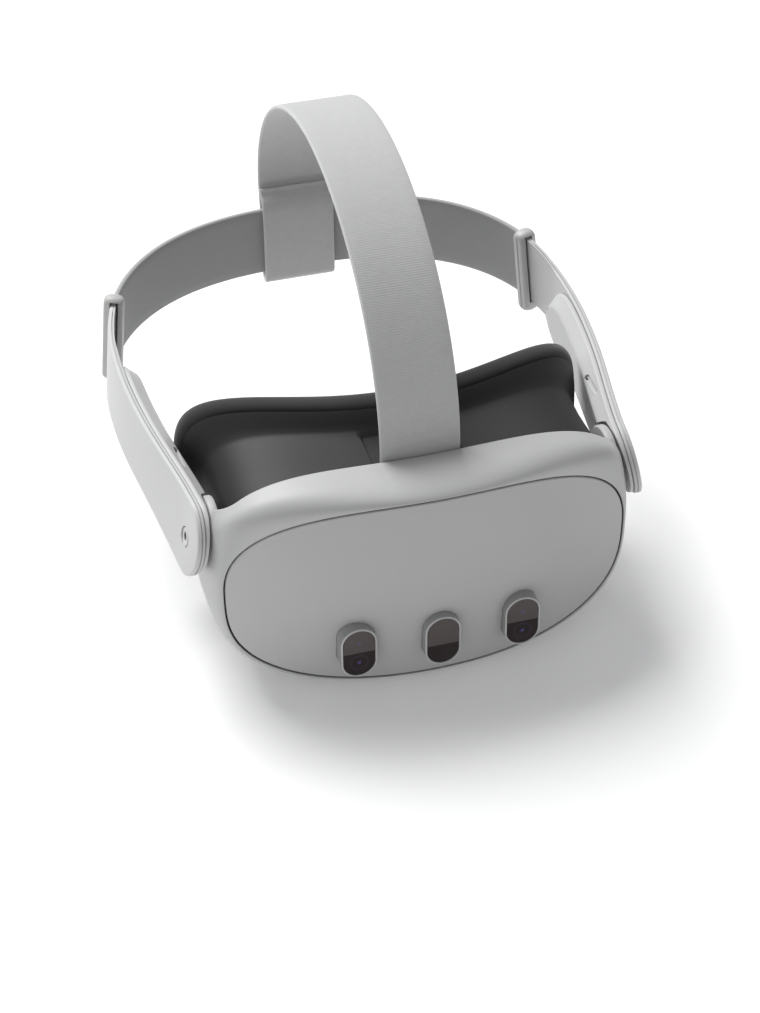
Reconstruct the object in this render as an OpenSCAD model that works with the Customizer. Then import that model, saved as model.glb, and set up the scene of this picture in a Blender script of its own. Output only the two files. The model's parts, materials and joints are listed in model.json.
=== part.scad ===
// Standalone head-mounted display with a strap band, a top strap and a sliding face interface.
// Frame: +X right as seen from the front, +Y towards the back of the head, +Z up. Left and right
// in the names are as seen from the front.

/* [Visor] */
// Half width of the front cover
cover_half_w = 76.6; // [72:0.2:78]
// Height of the front cover above the visor axis
cover_top = 40.6; // [38:0.2:42]
// Depth of the front cover below the visor axis
cover_bottom = 43.4; // [41:0.2:44]
// Half width of the shell at its rear edge
shell_half_w = 80.5; // [79:0.1:80.6]
// Height of the shell above the visor axis
shell_top = 46.5; // [45:0.1:47]
// Height of the visor axis above the surface that the headset stands on
axis_z = 47; // [47:0.1:48]
// Wall thickness of the shell and the front cover
wall = 2.2; // [1.8:0.1:2.4]
// Depth of the shell at its sides and its bottom
shell_depth = 52; // [52:0.5:54]
// Depth of the shell at its top edge
shell_top_depth = 28.7; // [27:0.1:28.9]

/* [Sensors] */
// Distance between the outer sensor pods and the centre one
pod_pitch = 31.5; // [30:0.5:33]
// Height of the sensor pods' centres
pod_z = 23.2; // [22:0.2:24]
// How far the centre pod stands out of the cover
pod_proud = 3; // [2.4:0.2:3]
// How far the outer pods stand out of the cover
side_pod_proud = 4; // [3:0.2:4.6]
// Width of a sensor pod
pod_w = 13.8; // [13:0.2:14.4]
// Height of a sensor pod
pod_h = 22.8; // [22:0.2:24]

/* [Optics] */
// Distance between the two eyepieces at rest
eye_distance = 63; // [62:0.5:64]
// Radius of a lens barrel
barrel_r = 22; // [21:0.5:22]
// Radius of the guide rods that the lens barrels slide on
rod_r = 1.5; // [1.2:0.1:1.8]

/* [Straps] */
// Half width between the outer faces of the strap band
band_half_w = 94.8; // [94:0.1:96]
// Height of the strap band at its sides
arm_h = 29; // [28:0.5:30]
// Height of the strap band at the back of the head
strap_h = 30.5; // [30:0.5:32]
// Width of the top strap
top_strap_w = 30.2; // [29:0.1:31]
// Thickness of the top strap
top_strap_t = 2; // [1.8:0.1:2.2]
// Height of the top of the top strap
crown_z = 168.5; // [165:0.5:172]

/* [Hidden] */

ring_n = 88;
back_y = 214;
centre_y = back_y / 2;
seam = 0.35;
cover_back = 3;
hinge_y = 40;
hinge_z = 61.5;
hinge_r = 14.5;
pin_r = 2;
neck_r = 14;
neck_x = 74.2;
slat_t = 3;
hinge_x = 85.8;
head_x = 84;
head_r = 3.7;
lean = 0.095;
hinge_lean = 0.2;
neck_end = 77.4;
arm_end_y = 162.8;
strap_start_y = 163.2;
band_turn_y = 125;
band_back = 84.2;
band_power = 2.5;
slider_y = 166.5;
slider_turn = 20;
slider_h = 38.8;
barrel_y = 34;
barrel_len = 20;
rod_y = 38;
rod_rise = 25;
rod_reach = 46;
wheel_y = 14.5;
fan_z = 62;
fan_r = 17;
frame_y = 33;
shell_grey = "gainsboro";
dark = "#2c2c2e";

// ---- Curves -------------------------------------------------------------------------------

function sq(v) = v * v;
function ramp(t) = let (c = max(0, min(1, t))) c * c * (3 - 2 * c);
function mix(a, b, t) = a + (b - a) * t;

// Half size of a superellipse with half axes a and b, along the direction phi.
function reach(a, b, p, phi) =
    pow(pow(abs(cos(phi)) / a, p) + pow(abs(sin(phi)) / b, p), -1 / p);

// A point [x, z] of a visor outline: o = [half width, top, bottom, top power, bottom power, dip].
function rim(o, phi) =
    let (upper = sin(phi) >= 0,
         r = reach(o[0], upper ? o[1] : o[2], upper ? o[3] : o[4], phi),
         x = r * cos(phi),
         sag = upper ? o[5] * sq(max(0, 1 - sq(x / o[0]))) * ramp(sin(phi) * 3) : 0)
    [x, axis_z + r * sin(phi) - sag];

function shrink(o, d) = [o[0] - d, o[1] - d, o[2] - d, o[3], o[4], o[5]];
function blend(o, q, t) = [for (i = [0:5]) mix(o[i], q[i], t)];

// Front of the visor: how far back the cover lies at x, z.
function front_y(x, z) = cover_back + sq(x) / 330 + sq(z - axis_z) / 450;

cover_rim = [cover_half_w, cover_top, cover_bottom, 2.3, 3.1, 3.4];
shell_rim = [shell_half_w, shell_top, axis_z + 0.3, 3.4, 3.4, 5.3];

// Rear edge of the shell, nearer the front at the top than at the sides.
function rear_y(z) = mix(shell_depth, shell_top_depth, ramp((z - 62) / 21));

// A closed band of rings, joined end to end.
module ring_loop(rings) {
    m = len(rings[0]);
    k = len(rings);
    polyhedron(
        points = [for (r = rings) each r],
        faces = [for (j = [0:k - 1], i = [0:m - 1])
            let (a = j * m + i, b = j * m + (i + 1) % m,
                 c = ((j + 1) % k) * m + (i + 1) % m, d = ((j + 1) % k) * m + i)
            each [[a, b, c], [a, c, d]]]);
}

// A solid that runs through rings and is closed at both ends.
module ring_solid(rings) {
    m = len(rings[0]);
    k = len(rings);
    polyhedron(
        points = [for (r = rings) each r],
        faces = concat(
            [[for (i = [m - 1:-1:0]) i]],
            [[for (i = [0:m - 1]) (k - 1) * m + i]],
            [for (j = [0:k - 2], i = [0:m - 1])
                let (a = j * m + i, b = j * m + (i + 1) % m)
                each [[a, b, b + m], [a, b + m, a + m]]]));
}

// Outline of an upright bar with round ends.
function capsule(w, h) = [for (e = [0, 1], i = [0:12])
    let (a = 180 * e + 15 * i)
    [w / 2 * cos(a), (e == 0 ? 1 : -1) * (h - w) / 2 + w / 2 * sin(a)]];

function flat_outline(o) = [for (i = [0:ring_n - 1])
    let (p = rim(o, 360 * i / ring_n)) [p[0], p[1]]];

// Upright plate in the XZ plane, from y to y + t.
module plate(y, t) {
    translate([0, y + t, 0]) rotate([90, 0, 0]) linear_extrude(t) children();
}

module at_side(side) {
    mirror([side < 0 ? 1 : 0, 0, 0]) children();
}

module in_frame() {
    translate([0, -centre_y, 0]) children();
}

// ---- Visor casing -------------------------------------------------------------------------

// Outer ring of the shell at depth fraction t, from the seam to the rear edge.
function shell_ring(t, inset) = [for (i = [0:ring_n - 1])
    let (phi = 360 * i / ring_n,
         bulge = sin(90 * min(1, t * 1.6)),
         o = shrink(blend(cover_rim, shell_rim, bulge), inset - seam * (1 - bulge)),
         p = rim(o, phi),
         s = rim(cover_rim, phi),
         y0 = front_y(s[0], s[1]) + inset * 1.2,
         depth = t < 0.625 ? 0.625 * (1 - cos(90 * t * 1.6)) : t,
         y1 = rear_y(p[1] + inset))
    [p[0], mix(y0, y1, depth), p[1]]];

// Step behind the shell's front lip that the cover drops into.
function rebate_ring() = [for (i = [0:ring_n - 1])
    let (phi = 360 * i / ring_n, p = rim(shrink(cover_rim, -seam), phi), s = rim(cover_rim, phi))
    [p[0], front_y(s[0], s[1]) + wall * 1.2, p[1]]];

module visor_shell() {
    color(shell_grey) in_frame() difference() {
        ring_loop(concat(
            [for (t = [0, 0.12, 0.25, 0.38, 0.5, 0.625, 0.8, 1]) shell_ring(t, 0)],
            [for (t = [1, 0.75, 0.5, 0.3, 0.15, 0]) shell_ring(t, wall)],
            [rebate_ring()]));
        for (side = [-1, 1]) at_side(side)
            translate([60, hinge_y, hinge_z]) rotate([0, 90, 0]) {
                cylinder(r = neck_r + 0.1, h = neck_end + 0.1 - 60, $fn = 96);
                cylinder(r = pin_r + 0.1, h = 30, $fn = 32);
                intersection() {
                    cylinder(r = neck_r + 0.1, h = 30, $fn = 96);
                    translate([-30, -20, 0]) cube([21.5, 40, 30]);
                }
            }
        translate([-7, wheel_y - 2.7, -1]) cube([14, 5.4, 8]);
        translate([-46, 32.5, -1]) cube([12, 7, 8]);
        translate([31, 32.5, -1]) cube([18, 7, 8]);
        translate([-10, 44, -1]) cube([20, 3.4, 2.4 + wall]);
        translate([-shell_half_w, 0, -5]) cube([2 * shell_half_w, shell_depth + 1, 5]);
    }
}

function cover_ring(f, back) = [for (i = [0:ring_n - 1])
    let (p = rim(shrink(cover_rim, seam), 360 * i / ring_n),
         x = p[0] * f,
         z = axis_z + (p[1] - axis_z) * f)
    [x, front_y(x, z) + back, z]];

module front_cover() {
    color("silver") in_frame() difference() {
        ring_solid(concat(
            [for (f = [0.02, 0.25, 0.5, 0.72, 0.88, 1]) cover_ring(f, 0)],
            [for (f = [1, 0.88, 0.6, 0.3, 0.02]) cover_ring(f, wall - 0.2)]));
        for (k = [-1:1]) translate([k * pod_pitch, 0, pod_z]) plate(-5, 30)
            polygon(capsule(pod_w + 0.2, pod_h + 0.2));
    }
}

module front_gasket() {
    ring = function (d, y) [for (i = [0:ring_n - 1])
        let (p = rim(shrink(cover_rim, d), 360 * i / ring_n),
             s = rim(cover_rim, 360 * i / ring_n))
        [p[0], front_y(s[0], s[1]) + y, p[1]]];
    color(dark) in_frame() ring_loop([ring(seam - 0.05, 0.6), ring(-seam + 0.05, 0.6),
                                      ring(-seam + 0.05, 1.9), ring(seam - 0.05, 1.9)]);
}

// ---- Sensor pods --------------------------------------------------------------------------

function pod_front(k) = k == 0
    ? cover_back - pod_proud : front_y(pod_pitch, pod_z) - side_pod_proud - 1.2;

module sensor_bezel(k) {
    color("darkgray") in_frame() translate([k * pod_pitch, 0, pod_z]) difference() {
        plate(pod_front(k), 9) polygon(capsule(pod_w, pod_h));
        plate(pod_front(k) - 1, 2) polygon(capsule(pod_w - 1.4, pod_h - 1.4));
        plate(pod_front(k) + 1, 9) polygon(capsule(pod_w - 3, pod_h - 3));
    }
}

module sensor_window(k) {
    color("dimgray") in_frame() translate([k * pod_pitch, 0, pod_z])
        plate(pod_front(k) + 0.2, 0.8) polygon(capsule(pod_w - 1.5, pod_h - 1.5));
}

// A stepped camera that looks forward from behind a pod's window.
module camera(k, dz, r) {
    color(dark) in_frame() translate([k * pod_pitch, pod_front(k) + 1.3, pod_z + dz])
        rotate([-90, 0, 0]) {
            cylinder(r = r * 0.75, h = 2, $fn = 32);
            translate([0, 0, 2]) cylinder(r = r, h = 7, $fn = 32);
        }
}

// ---- Inside the visor ---------------------------------------------------------------------

// Chassis plate, with brackets that hold the guide rods.
module midframe() {
    color("gray") in_frame() for (side = [-1, 1], dz = [-1, 1])
        translate([side * (rod_reach + 1.5), 32, axis_z + dz * (rod_rise - 0.9)])
            cube([3, 16, 2.8], center = true);
    color("gray") in_frame() difference() {
        plate(22, 2) polygon(flat_outline([70, 37, 37, 3, 3, 4]));
        for (side = [-1, 1]) translate([side * 38, 0, 44]) plate(20, 6) square([30, 26], center = true);
        for (x = [-58, 58], z = [28, 70]) translate([x, 20, z]) rotate([-90, 0, 0])
            cylinder(r = 1.1, h = 6, $fn = 24);
    }
}

module main_board() {
    color("darkgreen") in_frame() {
        translate([-50, 18.8, 22]) cube([100, 1.6, 52]);
        translate([-8, 17.4, 34]) cube([16, 1.4, 16]);
        for (x = [-34, 20]) translate([x, 17.8, 30]) cube([14, 1, 11]);
    }
}

module heat_sink() {
    color("silver") in_frame() {
        translate([-40, 15.8, 38]) cube([80, 1.6, 36]);
        for (side = [-1, 1], k = [0:6]) translate([side * (22.5 + 2.4 * k) - 0.4, 11, 42])
            cube([0.8, 4.8, 28]);
    }
}

module fan_housing() {
    color(dark) in_frame() translate([0, 8.6, fan_z]) rotate([-90, 0, 0]) difference() {
        cylinder(r = fan_r + 2, h = 7.2, $fn = 64);
        translate([0, 0, -1]) cylinder(r = fan_r + 0.6, h = 6.8, $fn = 64);
        cylinder(r = 1.5, h = 12, $fn = 32);
    }
}

module fan_rotor() {
    color("black") in_frame() translate([0, 8.9, fan_z]) rotate([-90, 0, 0]) {
        cylinder(r = 6, h = 4.8, $fn = 48);
        cylinder(r = 1.45, h = 6.6, $fn = 32);
        for (k = [0:8]) rotate(40 * k) translate([5, -0.4, 0.8]) rotate([25, 0, 0])
            cube([fan_r - 5.5, 0.8, 4]);
    }
}

module battery_pack() {
    color("slategray") in_frame() {
        translate([-50, 26, 36]) cube([100, 6, 33.4]);
        translate([-12, 24.2, 66]) cube([24, 1.6, 6]);
    }
}

module ipd_guide_rods() {
    color("lightsteelblue") in_frame() for (dz = [-rod_rise, rod_rise])
        translate([-rod_reach, rod_y, axis_z + dz]) rotate([0, 90, 0])
            cylinder(r = rod_r, h = 2 * rod_reach, $fn = 32);
}

module lens_barrel(side) {
    color(dark) in_frame() translate([side * eye_distance / 2, barrel_y, axis_z]) {
        rotate([-90, 0, 0]) difference() {
            cylinder(r = barrel_r, h = barrel_len, $fn = 72);
            translate([0, 0, 2.2]) cylinder(r = barrel_r - 2, h = barrel_len, $fn = 72);
            translate([0, 0, -1]) cylinder(r = barrel_r - 5, h = 5, $fn = 72);
        }
        for (dz = [-1, 1]) difference() {
            translate([-6, rod_y - barrel_y - 4, dz * (barrel_r + 2.2) - 3.1]) cube([12, 8, 6.2]);
            rotate([-90, 0, 0]) translate([0, 0, -1]) cylinder(r = barrel_r - 0.5, h = 30, $fn = 72);
            translate([-7, rod_y - barrel_y, dz * rod_rise]) rotate([0, 90, 0])
                cylinder(r = rod_r + 0.05, h = 14, $fn = 32);
        }
    }
}

module lens(side) {
    color("lightblue") in_frame() translate([side * eye_distance / 2, barrel_y, axis_z])
        rotate([-90, 0, 0]) {
            translate([0, 0, 13]) cylinder(r = barrel_r - 2, h = 3, $fn = 72);
            translate([0, 0, 16]) intersection() {
                cylinder(r = barrel_r - 4, h = 2.4, $fn = 72);
                translate([0, 0, -68]) sphere(r = 70, $fn = 96);
            }
        }
}

module display(side) {
    color("midnightblue") in_frame() translate([side * eye_distance / 2, barrel_y, axis_z])
        rotate([-90, 0, 0]) translate([0, 0, 2.2]) cylinder(r = barrel_r - 2.2, h = 1.8, $fn = 72);
}

module ipd_wheel() {
    color(dark) in_frame() translate([0, wheel_y - 2, 10.8]) rotate([-90, 0, 0]) difference() {
        cylinder(r = 9, h = 4, $fn = 64);
        for (k = [0:23]) rotate(15 * k) translate([9.2, 0, -1]) cylinder(r = 0.5, h = 6, $fn = 6);
        translate([0, 0, -1]) cylinder(r = 1.5, h = 6, $fn = 32);
    }
}

// Dark skirt and rear panel round the eyepieces.
module optics_cover() {
    color(dark) in_frame() {
        difference() {
            plate(27, 19) polygon(flat_outline([67, 34.5, 33, 3, 3, 4]));
            plate(26, 18) polygon(flat_outline([65, 32.5, 31, 3, 3, 4]));
            plate(40, 10) for (side = [-1, 1]) translate([side * eye_distance / 2, axis_z]) {
                for (dx = [-4.2, 4.2]) translate([dx, 0]) circle(r = barrel_r + 0.6, $fn = 72);
                square([8.4, 2 * barrel_r + 1.2], center = true);
            }
        }
    }
}

module proximity_sensor() {
    color("black") in_frame() translate([-3.5, 46, 73]) cube([7, 1.4, 4]);
}

module chassis_screws() {
    color("silver") in_frame() for (x = [-58, 58], z = [28, 70]) translate([x, 19.8, z])
        rotate([-90, 0, 0]) {
            cylinder(r = 2, h = 2.2, $fn = 24);
            cylinder(r = 1.1, h = 6, $fn = 24);
        }
}

// ---- Controls and contacts ----------------------------------------------------------------

module power_button() {
    color("whitesmoke") in_frame() translate([-40, 36, 2]) {
        linear_extrude(4) polygon([for (p = capsule(6, 11)) [p[1], p[0]]]);
    }
}

module volume_rocker() {
    color("whitesmoke") in_frame() translate([40, 36, 2])
        linear_extrude(4) polygon([for (p = capsule(6, 17)) [p[1], p[0]]]);
}

module dock_contacts() {
    color("goldenrod") in_frame() for (k = [-1.5:1.5]) translate([5 * k - 1.6, 44.2, 0.6])
        cube([3.2, 3, 1.8]);
}

module top_strap_anchor() {
    color("gray") in_frame() for (side = [-1, 1]) translate([side * 18 - 1.5, 24.5, 78.4])
        cube([3, 7.9, 4]);
    color("gray") in_frame() translate([-18, 25, 78.4]) cube([36, 2.5, 4]);
}

// ---- Hinges -------------------------------------------------------------------------------

module hinge_neck(side) {
    color("gainsboro") in_frame() at_side(side) translate([0, hinge_y, hinge_z]) rotate([0, 90, 0])
        difference() {
            translate([0, 0, neck_x]) {
                cylinder(r1 = neck_r - 1.4, r2 = neck_r, h = 1.4, $fn = 96);
                translate([0, 0, 1.4]) cylinder(r = neck_r, h = neck_end - neck_x - 1.4, $fn = 96);
            }
            translate([0, 0, 71]) cylinder(r = pin_r, h = 12, $fn = 32);
        }
}

// Turns children from the Z axis onto the X axis and shears them to lie in the arm's face.
module leaning() {
    multmatrix([[1, 0, -hinge_lean, 0], [0, 1, 0, 0], [0, 0, 1, 0], [0, 0, 0, 1]])
        rotate([0, 90, 0]) children();
}

module pivot_pin(side) {
    color("silver") in_frame() at_side(side) translate([0, hinge_y, hinge_z]) difference() {
        union() {
            rotate([0, 90, 0]) translate([0, 0, 74.4]) cylinder(r = pin_r, h = 10.4, $fn = 32);
            leaning() translate([0, 0, head_x]) cylinder(r = head_r, h = hinge_x - head_x, $fn = 48);
        }
        leaning() translate([0, 0, hinge_x - 1.3]) cylinder(r = 1.7, h = 2, $fn = 32);
    }
}

// ---- Face interface -----------------------------------------------------------------------

// Opening of the interface at its rear: forehead forward, temples back, nose notch below.
function face_y(x) = 59 + 16 * sq(x / 62);
function nose(x, z) = z < axis_z ? 19 * sq(max(0, 1 - sq(x / 19))) : 0;

function face_ring(o, base, follow, notch) = [for (i = [0:ring_n - 1])
    let (p = rim(o, 360 * i / ring_n))
    [p[0], base + follow * (face_y(p[0]) - 59), p[1] + notch * nose(p[0], p[1])]];

module face_frame() {
    color(dark) in_frame() difference() {
        ring_loop([
            face_ring([73.4, 40, 37, 4.5, 3.2, 3], frame_y, 0, 0),
            face_ring([73, 40.2, 37.4, 4.4, 3, 2.6], 45, 0.3, 0),
            face_ring([74.4, 41, 38, 4.2, 2.8, 2], 52.2, 0.8, 0.6),
            face_ring([78.3, 45.6, 38.4, 3.9, 2.6, 1.2], 56, 1, 1),
            face_ring([75.8, 43.1, 35.9, 3.9, 2.6, 1.2], 56, 1, 1),
            face_ring([71.6, 38.8, 35.4, 4.2, 2.8, 2], 52.2, 0.8, 0.6),
            face_ring([70.6, 38, 34.8, 4.4, 3, 2.6], 45, 0.3, 0),
            face_ring([71, 38, 34.4, 4.5, 3.2, 3], frame_y, 0, 0)]);
        for (side = [-1, 1]) translate([side * 71 - 6, 48, 42]) cube([12, 8.6, 5.6]);
    }
}

module face_cushion() {
    color("#3a3a3c") in_frame() ring_loop([
        face_ring([78.5, 46, 38.6, 3.9, 2.6, 1.2], 56.3, 1, 1),
        face_ring([80.3, 47.6, 39.6, 3.9, 2.6, 1.2], 59.6, 1, 1),
        face_ring([79.9, 47.4, 39.2, 3.9, 2.6, 1.2], 64, 1, 1),
        face_ring([75.6, 44.2, 35.6, 3.9, 2.6, 1.2], 66.7, 1, 1),
        face_ring([70.6, 40, 31.2, 3.9, 2.6, 1.2], 64.4, 1, 1),
        face_ring([68.6, 38.4, 29.6, 3.8, 2.6, 1.2], 60, 1, 1),
        face_ring([69.2, 39, 30, 3.8, 2.6, 1.2], 56.3, 1, 1)]);
}

// Soft light seal over the nose.
module nose_flap() {
    color("#202022") in_frame() difference() {
        plate(51, 1.2) polygon(concat([[4, 35], [-4, 35], [-11, 30]],
            [for (x = [-17:2:17]) [x, axis_z - 34.6 + 0.58 * nose(x, 0)]], [[11, 30]]));
    }
}

module depth_button(side) {
    color("gray") in_frame() at_side(side) translate([66, 48.3, 42.3]) cube([7.4, 8, 5]);
}

// ---- Side arms ----------------------------------------------------------------------------

// Outer face of the strap band: x at depth y along the side of the head.
function band_x(y) = y < band_turn_y
    ? let (t = (y - 36) / (band_turn_y - 36))
      hinge_x + (band_half_w - hinge_x) * (ramp(t) + (t < 0 ? 1.5 * t : t * (1.5 - 0.5 * t * t))) / 2
    : let (v = (y - band_turn_y) / (band_back + 1.1))
      band_half_w * pow(max(0, 1 - pow(v, band_power)), 1 / band_power);
// How far the arm's face leans inwards per millimetre of height: most at the hinge.
function arm_lean(y) = mix(hinge_lean, lean, ramp((y - 34) / 60));
function band_z(y) = hinge_z + 0.045 * (min(y, 150) - hinge_y) + 0.12 * max(0, y - 150);

// A flat bar that follows the band: stations of [y, half height, z shift], from depth d0 to d1,
// with its inner upper edge bevelled.
module band_plate(stations, inner, outer, bevel) {
    ring_solid([for (s = stations)
        let (y = s[0], h = s[1], zc = band_z(y) + s[2], x = band_x(y), c = min(0.8, h / 3),
             k = min(bevel(y), h / 2))
        [for (q = [[outer(y) + c, -h], [outer(y), c - h], [outer(y), h - c], [outer(y) + c, h],
                   [inner(y) - k, h], [inner(y), h - 0.8 * k], [inner(y), -h]])
            [x - q[0] - arm_lean(y) * q[1], y, zc + q[1]]]]);
}

function round_front(y) = sqrt(max(0.01, sq(hinge_r) - sq(hinge_y - y)));

// Half height of the slat, a little more where it enters the slider.
function slat_half(y) = arm_h / 2 + 0.8 * ramp((y - 138) / 20);

module strap_arm(side) {
    stations = concat(
        [for (a = [4:8.6:90]) let (y = hinge_y - hinge_r * cos(a))
            [y, round_front(y), hinge_z - band_z(y)]],
        [for (y = [44:4:arm_end_y]) [y, slat_half(y), 0]],
        [[arm_end_y, slat_half(arm_end_y), 0]]);
    color("whitesmoke") in_frame() at_side(side) difference() {
        band_plate(stations, function (y) slat_t - 0.6 * ramp((y - 136) / 10), function (y) 0,
                   function (y) 0.3);
        translate([0, hinge_y, hinge_z]) {
            rotate([0, 90, 0]) cylinder(r = pin_r + 0.06, h = 90, $fn = 32);
            leaning() translate([0, 0, head_x - 0.3]) cylinder(r = head_r + 0.15, h = 6, $fn = 48);
        }
    }
}

port_y = 72;
port_z = 49.2;
usb_x = 85.2;
jack_x = 84.3;
jack_r = 1.75;
jack_depth = 13.8;

// Inner arm: a thin layer at the hinge that swells inwards where the speaker sits.
arm_y1 = 134;
arm_inner_t = 2.2;
neck_room = hinge_x - slat_t - arm_inner_t - 40;
function arm_swell(y) = 4.5 * ramp((y - 30) / 8);
function arm_half(y) = y < hinge_y ? round_front(y) - 0.6
    : 13.9 * sqrt(max(0.06, 1 - pow(max(0, y - 110) / (arm_y1 - 110), 2.6)));

module arm_shell(side) {
    stations = concat(
        [for (a = [12.6:8.6:90]) hinge_y - hinge_r * cos(a)],
        [for (y = [44:4:124]) y], [126, 128, 130, 131.6, 133, 133.8]);
    color("gainsboro") in_frame() at_side(side) difference() {
        band_plate([for (y = stations) [y, arm_half(y), y < hinge_y ? hinge_z - band_z(y) : 0]],
                   function (y) slat_t + arm_inner_t + arm_swell(y), function (y) slat_t + 0.14,
                   function (y) 0.4 + arm_swell(y));
        translate([70, hinge_y, hinge_z]) rotate([0, 90, 0])
            cylinder(r = pin_r + 0.06, h = 20, $fn = 32);
        translate([0, hinge_y, hinge_z]) leaning() {
            translate([0, 0, 40]) cylinder(r = neck_r + 0.4, h = neck_room, $fn = 96);
            translate([-8.5, -20, 40]) cube([30, 35, neck_room]);
        }
        translate([84.6, 76, 53]) cube([8, 20, 10]);
        hull() for (y = [65.5, 75.5]) translate([80.7, y, 73.6]) cylinder(r = 1.25, h = 6, $fn = 24);
        if (side > 0) translate([jack_x, port_y, 40]) cylinder(r = 2.32, h = 24.1, $fn = 48);
        if (side < 0) translate([usb_x, port_y, 43.4]) cube([3.3, 9.1, 22], center = true);
    }
}

module speaker(side) {
    color("dimgray") in_frame() at_side(side) translate([84.9, 77, 54]) cube([2.6, 18, 8]);
}

module usb_c_port() {
    color("silver") in_frame() at_side(-1) translate([usb_x, port_y, port_z]) {
        difference() {
            translate([-1.6, -4.5, 0]) cube([3.2, 9, 5.1]);
            translate([-1.3, -4.2, -1]) cube([2.6, 8.4, 5]);
        }
        translate([-0.35, -3.6, 0.6]) cube([0.7, 7.2, 4]);
    }
}

module audio_jack() {
    color("black") in_frame() translate([jack_x, port_y, port_z]) difference() {
        cylinder(r = 2.3, h = 14.8, $fn = 48);
        translate([0, 0, -1]) cylinder(r = jack_r, h = 1 + jack_depth, $fn = 48);
    }
}

// ---- Rear strap, sliders and top strap ----------------------------------------------------

function strap_centre(a) = [
    (band_half_w - 1.1) * pow(abs(cos(a)), 2 / band_power) * sign(cos(a)),
    band_turn_y + band_back * pow(max(0, sin(a)), 2 / band_power)];
strap_a0 = asin(pow((strap_start_y - band_turn_y) / band_back, band_power / 2));

module rear_strap() {
    n = 44;
    color("lightgray") in_frame() ring_solid([for (k = [0:n])
        let (a = mix(strap_a0, 180 - strap_a0, k / n),
             p = strap_centre(a),
             before = strap_centre(a - 0.5), after = strap_centre(a + 0.5),
             d = after - before, u = [d[1], -d[0]] / norm(d),
             h = mix(15.4, strap_h / 2, ramp((p[1] - strap_start_y) / 25)),
             zc = band_z(p[1]), tilt = lean * sqrt(abs(cos(a))))
        [for (q = [[1.1, -h], [1.1, h], [-1.1, h], [-1.1, -h]])
            [p[0] + u[0] * q[0] - tilt * q[1] * sign(p[0]), p[1] + u[1] * q[0], zc + q[1]]]]);
}

module strap_slider(side) {
    x0 = band_x(slider_y) - 0.5;
    z0 = band_z(slider_y) - 1.9;
    color("gainsboro") in_frame() at_side(side) translate([x0, slider_y, z0])
        rotate([0, -atan(lean), 0]) rotate(slider_turn) difference() {
            hull() for (t = [-1, 1]) {
                translate([t * 2.4 - 0.4, 0, 0]) rotate([90, 0, 90]) linear_extrude(0.8)
                    polygon(capsule(7.4, slider_h));
                translate([t * 3.3 - 0.3, 0, 0]) rotate([90, 0, 90]) linear_extrude(0.6)
                    polygon(capsule(5.2, slider_h - 2.2));
            }
            translate([-2.5, -10, -14.3]) cube([3.4, 20, 32.3]);
        }
}

function bezier(p, t) =
    pow(1 - t, 3) * p[0] + 3 * t * sq(1 - t) * p[1] + 3 * sq(t) * (1 - t) * p[2] + pow(t, 3) * p[3];

// Centre line of the top strap in the YZ plane, from its foot, over the head, round the rear
// strap and up to its stitched end.
half_t = top_strap_t / 2;
top_z = crown_z - half_t;
rear_in = back_y - half_t;
strap_line = concat(
    [[30.3, 79], [30.3, 83]],
    [for (t = [0:0.0625:1]) bezier([[30.3, 88], [30.3, 130], [72, top_z], [125, top_z]], t)],
    [for (t = [0.0625:0.0625:1]) bezier([[125, top_z], [170, top_z], [rear_in, 136], [rear_in, 99]], t)],
    [[rear_in - 0.5, 94], [211.9, 90], [211.8, 75], [211.8, 57]],
    [for (a = [20:20:160]) [209 + 2.8 * cos(a), 57 - 2.8 * sin(a)]],
    [[206.2, 57], [206.2, 75], [206.3, 88], [209.2, 94], [210.5, 97]]);

module top_strap() {
    n = len(strap_line);
    side_points = function (d) [for (i = [0:n - 1])
        let (a = strap_line[max(0, i - 1)], b = strap_line[min(n - 1, i + 1)],
             u = (b - a) / norm(b - a))
        strap_line[i] + d * [-u[1], u[0]]];
    back = side_points(-half_t);
    color("silver") in_frame() translate([-top_strap_w / 2, 0, 0]) rotate([90, 0, 90])
        linear_extrude(top_strap_w)
            polygon(concat(side_points(half_t), [for (i = [n - 1:-1:0]) back[i]]));
}

visor_shell();
front_cover();
front_gasket();
sensor_bezel(-1);  // sensor_bezel_left
sensor_bezel(0);  // sensor_bezel_center
sensor_bezel(1);  // sensor_bezel_right
sensor_window(-1);  // sensor_window_left
sensor_window(0);  // sensor_window_center
sensor_window(1);  // sensor_window_right
camera(-1, -4.4, 3.2);  // passthrough_camera_left
camera(1, -4.4, 3.2);  // passthrough_camera_right
camera(-1, 3.6, 2.6);  // tracking_camera_left
camera(1, 3.6, 2.6);  // tracking_camera_right
camera(0, 0, 3.6);  // depth_projector
midframe();
main_board();
heat_sink();
fan_housing();
fan_rotor();
battery_pack();
ipd_guide_rods();
ipd_wheel();
optics_cover();
proximity_sensor();
chassis_screws();
lens_barrel(-1);  // lens_barrel_left
lens(-1);  // lens_left
display(-1);  // display_left
lens_barrel(1);  // lens_barrel_right
lens(1);  // lens_right
display(1);  // display_right
power_button();
volume_rocker();
dock_contacts();
top_strap_anchor();
top_strap();
hinge_neck(-1);  // hinge_neck_left
hinge_neck(1);  // hinge_neck_right
pivot_pin(-1);  // pivot_pin_left
pivot_pin(1);  // pivot_pin_right
face_frame();
face_cushion();
nose_flap();
depth_button(-1);  // depth_button_left
depth_button(1);  // depth_button_right
arm_shell(-1);  // arm_shell_left
strap_arm(-1);  // strap_arm_left
speaker(-1);  // speaker_left
usb_c_port();
rear_strap();
arm_shell(1);  // arm_shell_right
strap_arm(1);  // strap_arm_right
speaker(1);  // speaker_right
audio_jack();
strap_slider(-1);  // strap_slider_left
strap_slider(1);  // strap_slider_right
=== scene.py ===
import json
import math

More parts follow.
